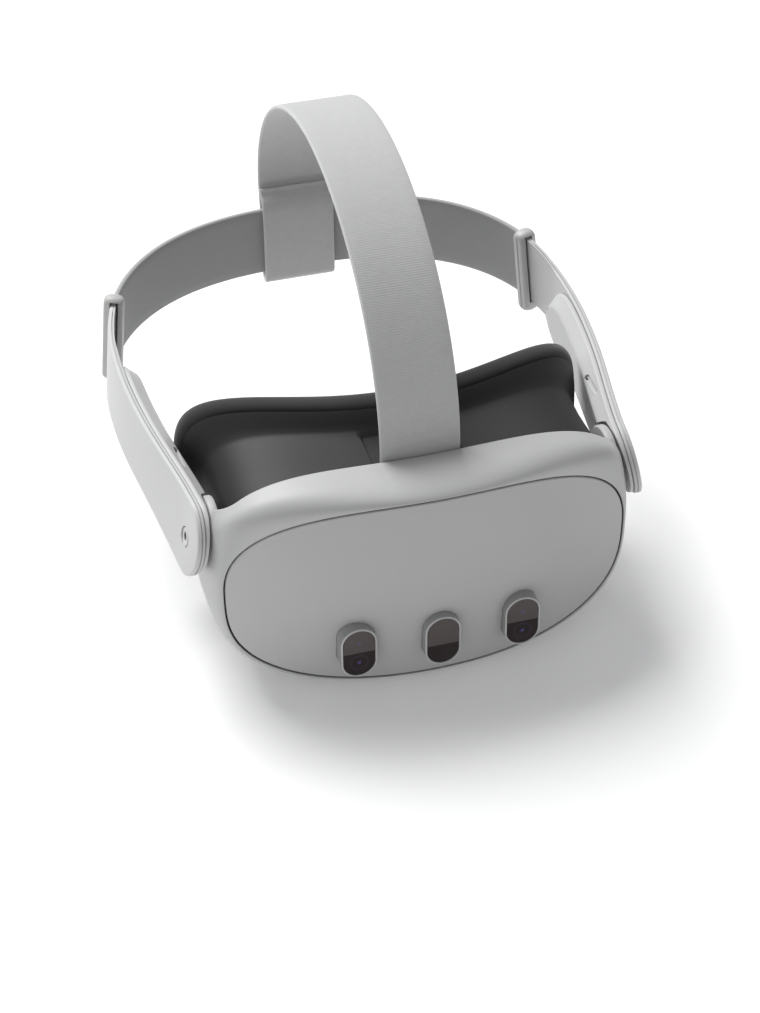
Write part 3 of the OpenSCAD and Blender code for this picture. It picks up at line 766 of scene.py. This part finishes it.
def sound_slot(side):
    """Shallow pill-shaped recess for the sound outlet on the bevel of the inner arm."""
    mid_x, mid_y, mid_z = 81.3, 70.5, 73.6
    slant_x, slant_z = 0.78, 0.62
    rings = []
    for depth in (0, 6):
        rings.append([(side * (mid_x + u * slant_x - depth * slant_z), mid_y + v,
                       mid_z + u * slant_z + depth * slant_x) for u, v in capsule(2.3, 13.5, 12)])
    return loft("cut", rings)


def hinge_pocket(side):
    """Room for the visor's edge beside the lower part of the inner arm."""
    rings = []
    for x in (60, NECK_ROOM):
        rings.append([(side * (x - HINGE_LEAN * dz), HINGE_Y + dy, HINGE_Z + dz)
                      for dy, dz in ((-20, -30), (15, -30), (15, 8.5), (-20, 8.5))])
    return loft("cut", rings)


def on_face(name, side, profile, steps=64):
    """A turned form on the hinge axis, sheared to lie in the arm's leaning face: profile lists
    (x, radius)."""
    rings = []
    for x, r in profile:
        rings.append([(side * (x - HINGE_LEAN * r * math.sin(a)), HINGE_Y + r * math.cos(a),
                       HINGE_Z + r * math.sin(a)) for a in angles(steps)])
    return loft(name, rings)


def make_hinges():
    for name, side in SIDES.items():
        centre = (0, HINGE_Y, HINGE_Z)
        face_x = band_x(HINGE_Y) - 0.05
        profile = ((74, 2.05), (74, 12.2), (74.2, 12.9), (74.7, 13.3), (75.3, 13.4), (76.8, 13.4),
                   (77.15, 13.3), (77.4, 12.9), (77.4, 2.05))
        ear = lathe(f"hinge_ear_{name}", centre, 0, [(side * x, r) for x, r in profile], looped=True)
        dress(ear, "shell_plastic", "visor", f"hinge_neck_{name}")
        pin = on_face(f"hinge_pin_{name}", side,
                      [(HEAD_X, 0.1), (HEAD_X, 3.6), (face_x - 0.3, 3.6), (face_x - 0.08, 3.5),
                       (face_x, 3.25), (face_x, 2.0), (face_x - 0.12, 1.8), (face_x - 1.5, 1.7),
                       (face_x - 1.55, 0.05)])
        socket = on_face(f"hinge_socket_{name}", side,
                         [(face_x - 1.5, 0.05), (face_x - 1.5, 1.72), (face_x - 0.5, 1.74),
                          (face_x - 0.45, 1.6), (face_x - 0.75, 0.9), (face_x - 0.8, 0.05)])
        dress(socket, "inner_black", "visor")
        dress(pin, "arm_plastic", "visor", f"pivot_pin_{name}")
        profile = ((74.5, 1.7), (74.7, 2), (HEAD_X, 2), (HEAD_X + 0.2, 0.4))
        shank = lathe(f"hinge_shank_{name}", centre, 0, [(side * x, r) for x, r in profile])
        dress(shank, "steel", "visor")


# ---- Rear strap, sliders and top strap --------------------------------------------------------

def strap_centre(a):
    """Centre (x, y) of the rear band in the direction a."""
    c, s = math.cos(a), max(0, math.sin(a))
    x = (BAND_HALF_W - 1.1) * abs(c) ** (2 / BAND_POWER) * (1 if c > 0 else -1)
    return x, BAND_TURN_Y + BAND_BACK * s ** (2 / BAND_POWER)


def strap_section(half_w, half_t, edge):
    """Section (across, through) of a flat strap with rounded edges."""
    points = []
    for sign in (1, -1):
        for i in range(7):
            a = math.pi * i / 6
            points.append((sign * (half_w - edge + edge * math.sin(a)), sign * half_t * math.cos(a)))
    inner = [(half_w - edge) * (1 - 2 * i / 8) for i in range(1, 8)]
    return points[:7] + [(w, -half_t) for w in inner] + points[7:] + [(-w, half_t) for w in inner]


def add_lengths(obj, along, across):
    """Stores each point's place on the strap, which the woven materials read."""
    for name, values in (("along", along), ("across", across)):
        layer = obj.data.attributes.new(name, "FLOAT", "POINT")
        layer.data.foreach_set("value", values)


def strap_loft(name, stations, section):
    """Lofts a section along stations of (origin, across, through) and stores its lengths in mm."""
    points, along, across, travelled, last = [], [], [], 0.0, None
    for origin, side_way, through in stations:
        if last is not None:
            travelled += (origin - last).length
        last = origin
        for w, t in section:
            points.append(origin + side_way * w + through * t)
            along.append(travelled)
            across.append(w)
    n = len(section)
    faces = ring_faces(len(stations), n, False)
    end = (len(stations) - 1) * n
    faces += [tuple(range(n)), tuple(range(end, end + n))]
    obj = add_object(name, points, faces, 50)
    add_lengths(obj, along, across)
    return obj, travelled


def make_rear_band():
    first = math.asin(((STRAP_START_Y - BAND_TURN_Y) / BAND_BACK) ** (BAND_POWER / 2))
    stations = []
    steps = 150
    for k in range(steps + 1):
        a = mix(first, math.pi - first, k / steps)
        x, y = strap_centre(a)
        (x0, y0), (x1, y1) = strap_centre(a - 0.01), strap_centre(a + 0.01)
        size = math.hypot(x1 - x0, y1 - y0)
        outward = Vector(((y1 - y0) / size, -(x1 - x0) / size, 0))
        grow = mix(15.4, STRAP_H / 2, ramp((y - STRAP_START_Y) / 25)) / (STRAP_H / 2)
        tilt = LEAN * math.sqrt(abs(math.cos(a))) * (1 if x > 0 else -1)
        stations.append((Vector((x, y, band_z(y))), Vector((-tilt, 0, 1)) * grow, outward))
    band, _ = strap_loft("rear_band", stations, strap_section(STRAP_H / 2, 1.1, 0.7))
    dress(band, "band_elastic", "left_arm", "rear_strap")


SLIDER_Y = 166.5
SLIDER_W = 7.4
SLIDER_H = 38.8
SLIDER_TURN = math.radians(20)


def slider_point(side, through, along, up):
    """A point of a slider, which is turned to the band's course and leans with it."""
    centre = Vector((band_x(SLIDER_Y) - 0.5, SLIDER_Y, band_z(SLIDER_Y) - 1.9))
    tip = math.atan(LEAN)
    flat = through * math.cos(SLIDER_TURN) - along * math.sin(SLIDER_TURN)
    y = through * math.sin(SLIDER_TURN) + along * math.cos(SLIDER_TURN)
    x, z = flat * math.cos(tip) - up * math.sin(tip), flat * math.sin(tip) + up * math.cos(tip)
    return side * (centre.x + x), centre.y + y, centre.z + z


def make_sliders():
    slot_outline = ((-10, -14.3), (10, -14.3), (10, 18), (-10, 18))
    for name, side in SIDES.items():
        rings = []
        for i in range(21):
            a = math.pi * i / 20
            through = -0.4 - 4 * math.cos(a)
            inset = 2.2 * (1 - math.sin(a) ** 0.7)
            outline = rounded(SLIDER_W - 2 * inset, SLIDER_H - 2 * inset, 2.9 - 0.5 * inset)
            rings.append([slider_point(side, through, u, v) for u, v in outline])
        slider = loft(f"slider_{name}", rings)
        slot = [[slider_point(side, through, u, v) for u, v in slot_outline]
                for through in (-2.5, 0.9)]
        cut(slider, loft("cut", slot))
        dress(slider, "slider_plastic", f"strap_slider_{name}", f"strap_slider_{name}")


STRAP_T = 2
CROWN_Z = 168.5
BACK_Y = 214


def bezier(p, t):
    """Point of a cubic curve with four control points (y, z)."""
    weights = ((1 - t) ** 3, 3 * t * (1 - t) ** 2, 3 * t * t * (1 - t), t ** 3)
    return tuple(sum(w * q[i] for w, q in zip(weights, p)) for i in (0, 1))


def top_strap_line():
    """Centre line (y, z) of the top strap, as in the CAD."""
    top, rear = CROWN_Z - STRAP_T / 2, BACK_Y - STRAP_T / 2
    line = [(30.3, 79), (30.3, 83)]
    line += [bezier(((30.3, 88), (30.3, 130), (72, top), (125, top)), i / 40) for i in range(41)]
    line += [bezier(((125, top), (170, top), (rear, 136), (rear, 99)), i / 40) for i in range(1, 41)]
    line += [(rear - 0.5, 94), (211.9, 90), (211.8, 82), (211.8, 75), (211.8, 66), (211.8, 57)]
    line += [(209 + 2.8 * math.cos(a), 57 - 2.8 * math.sin(a))
             for a in (math.radians(d) for d in range(15, 166, 15))]
    line += [(206.2, 57), (206.2, 66), (206.2, 75), (206.2, 84), (206.3, 88), (206.8, 91.2),
             (208.4, 93.4), (210.2, 94.8), (210.7, 97)]
    return line


def make_top_strap():
    line = top_strap_line()
    half_w = (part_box("top_strap")[1].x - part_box("top_strap")[0].x) / MM / 2
    stations = []
    for i, (y, z) in enumerate(line):
        (y0, z0), (y1, z1) = line[max(0, i - 1)], line[min(len(line) - 1, i + 1)]
        size = math.hypot(y1 - y0, z1 - z0)
        normal = Vector((0, -(z1 - z0) / size, (y1 - y0) / size))
        stations.append((Vector((0, y, z)), Vector((1, 0, 0)), normal))
    strap, length = strap_loft("top_strap_webbing", stations,
                               strap_section(half_w, STRAP_T / 2, 0.8))
    strap.data.materials.append(MATERIALS["webbing"])
    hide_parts("top_strap")
    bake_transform(strap)


# ---- Face interface ---------------------------------------------------------------------------

FACE_MID_Y = 59
NOSE_HALF_W = 19
NOSE_H = 19


def face_y(x):
    """Depth of the face's curve at x."""
    return FACE_MID_Y + 16 * (x / 62) ** 2


def nose(x, z):
    """Height of the nose notch above the lower rim at x."""
    return NOSE_H * max(0, 1 - (x / NOSE_HALF_W) ** 2) ** 2 if z < AXIS_Z else 0


def face_ring(o, base, follow, notch):
    """Ring of the interface at the depth base: follow and notch are the shares of the face's curve
    and of the nose notch that it takes."""
    ring = []
    for phi in angles(RING):
        x, z = rim(o, phi)
        ring.append((x, base + follow * (face_y(x) - FACE_MID_Y), z + notch * nose(x, z)))
    return ring


def recessed(ring):
    """Lowers the top of a ring behind the top strap's foot."""
    lowered = []
    for x, y, z in ring:
        hollow = ramp((16.4 - abs(x)) / 0.6) * (1 if z > AXIS_Z else 0)
        lowered.append((x, y, z - 3.6 * hollow * ramp((52 - y) / 2.5)))
    return lowered


def make_interface():
    # Rows: outline, depth, share of the face's curve, share of the nose notch.
    outside = [
        ((73.4, 40, 37, 4.5, 3.2, 3), 33, 0, 0),
        ((73.3, 40, 37, 4.5, 3.2, 2.9), 38, 0.1, 0),
        ((73, 40, 37.2, 4.45, 3.1, 2.7), 43, 0.25, 0),
        ((72.9, 40.1, 37.4, 4.4, 3.05, 2.5), 46.5, 0.42, 0.1),
        ((73.1, 40.2, 37.7, 4.4, 3, 2.3), 49, 0.6, 0.3),
        ((73.6, 40.4, 37.9, 4.3, 2.9, 2.1), 51, 0.74, 0.5),
        ((74.3, 40.8, 38, 4.2, 2.8, 2), 52.2, 0.82, 0.62),
        ((75.6, 42.5, 38.1, 4.4, 2.7, 1.8), 53.2, 0.9, 0.75),
        ((77, 44.4, 38.2, 4.5, 2.65, 1.7), 54.4, 0.96, 0.88),
        ((78.3, 46.2, 38.3, 4.6, 2.6, 1.7), 55.5, 1, 1),
        ((78.4, 46.5, 38.3, 4.6, 2.6, 1.7), 55.9, 1, 1)]
    inside = [
        ((76.2, 44.7, 36.4, 4.6, 2.6, 1.7), 56.1, 1, 1),
        ((74.8, 43.0, 35.6, 4.5, 2.6, 1.7), 55.6, 1, 1),
        ((71.6, 38.8, 35.3, 4.2, 2.8, 2), 52, 0.8, 0.6),
        ((70.8, 38.2, 35.1, 4.3, 2.9, 2.3), 48, 0.5, 0.2),
        ((70.6, 38, 34.8, 4.4, 3, 2.6), 45.5, 0.3, 0),
        ((71, 38, 34.4, 4.5, 3.2, 3), 33, 0, 0)]
    rings = [recessed(face_ring(*row)) for row in outside] + [face_ring(*row) for row in inside]
    shroud = loft("interface_frame", rings, looped=True, angle=48)
    cutters = [block("cut", (side * 71 - 6, 48, 42), (side * 71 + 6, 56.6, 47.6))
               for side in SIDES.values()]
    cut(shroud, *cutters, angle=48)
    dress(shroud, "interface_plastic", "face_interface", "face_frame")


CUSHION_RINGS = [
    ((77.9, 46.1, 38.2, 4.6, 2.6, 1.7), 56.4, 1, 1),
    ((79.8, 48.0, 39.2, 4.6, 2.6, 1.7), 58.6, 1, 1),
    ((80.3, 48.6, 39.3, 4.6, 2.6, 1.7), 61.4, 1, 1),
    ((79.3, 47.9, 38.3, 4.5, 2.6, 1.7), 64.6, 1, 1),
    ((76.2, 45.3, 35.6, 4.4, 2.6, 1.6), 66.6, 1, 1),
    ((72.4, 41.9, 32.6, 4.2, 2.6, 1.4), 65.9, 1, 1),
    ((69.8, 39.5, 30.6, 4.0, 2.6, 1.3), 63.0, 1, 1),
    ((69.2, 38.7, 30, 3.9, 2.6, 1.2), 59.8, 1, 1),
    ((70.2, 39.7, 30.6, 4.0, 2.6, 1.3), 57, 1, 1)]
# Where the cushion is glued to the frame, how far it may swell, and the swelling's settings.
CUSHION_BASE_Y = 59.5
SWELL_CAP = 1.6 * MM
SWELL_FRAMES = 20
EVEN_PASSES = 20


def subdivide(obj):
    obj.modifiers.new("fine", "SUBSURF").levels = 1
    apply_modifiers(obj)


def inflate(obj, pressure, pinned):
    """Swells a closed soft form with a cloth simulation: the pinned points stay in place, the
    others move by no more than SWELL_CAP, and the moves are evened out over the surface."""
    subdivide(obj)
    start = [v.co.copy() for v in obj.data.vertices]
    group = obj.vertex_groups.new(name="held")
    group.add([i for i, co in enumerate(start) if pinned(co)], 1.0, "REPLACE")
    cloth = obj.modifiers.new("cloth", "CLOTH")
    cloth.settings.quality = 6
    cloth.settings.mass = 0.3
    cloth.settings.bending_stiffness = 8
    cloth.settings.use_pressure = True
    cloth.settings.uniform_pressure_force = pressure
    cloth.settings.effector_weights.gravity = 0
    cloth.settings.vertex_group_mass = "held"
    for number in range(1, SWELL_FRAMES + 1):
        scene.frame_set(number)
    graph = bpy.context.evaluated_depsgraph_get()
    swollen = [v.co.copy() for v in obj.evaluated_get(graph).data.vertices]
    obj.modifiers.clear()
    obj.vertex_groups.clear()
    scene.frame_set(1)
    moves = [(b - a) * min(1, SWELL_CAP / max((b - a).length, 1e-9))
             for a, b in zip(start, swollen)]
    near = [[] for _ in moves]
    for edge in obj.data.edges:
        i, j = edge.vertices
        near[i].append(j)
        near[j].append(i)
    for _ in range(EVEN_PASSES):
        moves = [move * 0.4 + sum((moves[j] for j in ring), Vector()) * 0.6 / len(ring)
                 for move, ring in zip(moves, near)]
    for vertex, a, move in zip(obj.data.vertices, start, moves):
        vertex.co = a + move


def make_cushion():
    cushion = loft("face_cushion_pad", [face_ring(*row) for row in CUSHION_RINGS], looped=True)
    def held(co):
        x, y = co.x / MM, (co.y - FRONT_Y) / MM
        return y - (face_y(x) - FACE_MID_Y) < CUSHION_BASE_Y

    inflate(cushion, 4, held)
    subdivide(cushion)
    tidy_mesh(cushion, 60)
    dress(cushion, "face_foam", "face_interface", "face_cushion")


def make_nose_seal():
    """Thin flexible seal across the top of the nose notch."""
    rings = []
    spans = [-17 + 2 * i for i in range(18)]
    for y, shrinkage in ((51.0, 0.25), (51.3, 0), (51.9, 0), (52.2, 0.25)):
        lower = [(x * (1 - shrinkage / 17), y, AXIS_Z - 34.6 + 0.58 * nose(x, 0) + shrinkage)
                 for x in spans]
        arch = [(11 * math.cos(a), y, 30 + 5 * math.sin(a) - shrinkage)
                for a in (math.pi * i / 10 for i in range(11))]
        rings.append(lower + arch)
    seal = loft("nose_seal", rings, angle=60)
    dress(seal, "face_foam", "face_interface", "nose_flap")


# ---- Optics and small parts -------------------------------------------------------------------

def make_optics():
    for name in SIDES:
        x = node_mid(f"lens_barrel_{name}")[0]
        front = (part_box(f"lens_barrel_{name}")[0].y - FRONT_Y) / MM
        centre = (x, front, AXIS_Z)
        body = f"lens_module_{name}"
        profile = [(15.5, 17.2), (16.6, 19.4), (17.8, 20.2), (19.4, 20.4), (19.85, 20.7), (20, 21.2),
                   (19.85, 21.7), (19.4, 21.95), (18, 22), (0, 22), (0, 17.2)]
        barrel = lathe(f"eyepiece_ring_{name}", centre, 1, profile, 128, looped=True)
        dress(barrel, "inner_black", body)
        profile = [(12.8, 19.6), (15.9, 19.6)]
        profile += [(15.9 + 2.3 * math.cos(a), 19.0 * math.sin(a))
                    for a in (math.pi / 2 * (1 - i / 12) for i in range(1, 12))]
        glass = lathe(f"eyepiece_lens_{name}", centre, 1, profile + [(18.2, 0.2)], 128, angle=60)
        dress(glass, "lens_glass", body, f"lens_{name}")


def make_buttons():
    for name, side in SIDES.items():
        low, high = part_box(f"depth_button_{name}")
        lows = [low.x / MM, (low.y - FRONT_Y) / MM, low.z / MM]
        highs = [high.x / MM, (high.y - FRONT_Y) / MM, high.z / MM]
        button = block(f"depth_key_{name}", lows, highs)
        soften(button, 0.8)
        dress(button, "interface_plastic", f"depth_button_{name}", f"depth_button_{name}")
    for node, key in (("power_button", "power_key"), ("volume_rocker", "volume_key")):
        low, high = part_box(node)
        x, y, _ = node_mid(node)
        w, h = (high.y - low.y) / MM, (high.x - low.x) / MM
        rings = []
        for z, inset in ((high.z / MM, 0.4), (high.z / MM - 0.4, 0), (low.z / MM + 0.7, 0),
                         (low.z / MM + 0.2, 0.25), (low.z / MM, 0.8)):
            rings.append([(x + v, y + u, z) for u, v in capsule(w - 2 * inset, h - 2 * inset)])
        dress(loft(key, rings), "button_plastic", node, node)


def finish_cad_nodes():
    """Better materials on the CAD nodes that stay as they are."""
    for name, obj in frame["nodes"].items():
        if not obj.hide_render:
            obj.data.materials.clear()
            obj.data.materials.append(MATERIALS[SLOT_OF[name]])


# ---- Camera, floor and lights -----------------------------------------------------------------

def make_stage():
    elevation, azimuth = math.radians(38.08), math.radians(-16.6)
    camera = bpy.data.objects.new("camera", bpy.data.cameras.new("camera"))
    camera.location = place((-203.06, -641.09, 616.93))
    camera.rotation_euler = (math.pi / 2 - elevation, 0, azimuth)
    camera.data.lens = 86.5
    camera.data.sensor_width = 36
    camera.data.shift_x = -0.0320
    camera.data.shift_y = -0.0085
    scene.collection.objects.link(camera)
    scene.camera = camera

    floor = bpy.data.objects.new("floor", bpy.data.meshes.new("floor"))
    reach = 6
    corners = [(x * reach, y * reach, 0) for x, y in ((-1, -1), (1, -1), (1, 1), (-1, 1))]
    floor.data.from_pydata(corners, [], [(0, 1, 2, 3)])
    scene.collection.objects.link(floor)
    paint = Finish("floor_paint", 0.6, Emission_Color=(1, 1, 1, 1), Emission_Strength=0.12)
    paint.color(paint.blend(paint.noise(3, 2), grey(0.93), grey(0.96)))
    floor.data.materials.append(paint.material)

    world = bpy.data.worlds.new("studio")
    world.use_nodes = True
    sky = world.node_tree.nodes["Background"].inputs
    sky["Color"].default_value = (0.97, 0.98, 1, 1)
    sky["Strength"].default_value = 0.33
    scene.world = world
    scene.view_settings.view_transform = "Standard"
    for name, at, size, power in (("key", (-0.75, 2.0, 2.9), 2.2, 150),
                                  ("fill", (-1.9, -1.9, 1.5), 2.4, 7)):
        lamp = bpy.data.objects.new(name, bpy.data.lights.new(name, "AREA"))
        lamp.data.size = size
        lamp.data.energy = power
        lamp.location = at
        aim = Vector((0, 0, 0.06)) - Vector(at)
        lamp.rotation_euler = aim.to_track_quat("-Z", "Y").to_euler()
        scene.collection.objects.link(lamp)


make_stage()
make_shell()
make_cover()
make_pods()
make_hinges()
make_arms()
make_rear_band()
make_sliders()
make_top_strap()
make_interface()
make_cushion()
make_nose_seal()
make_optics()
make_buttons()
finish_cad_nodes()
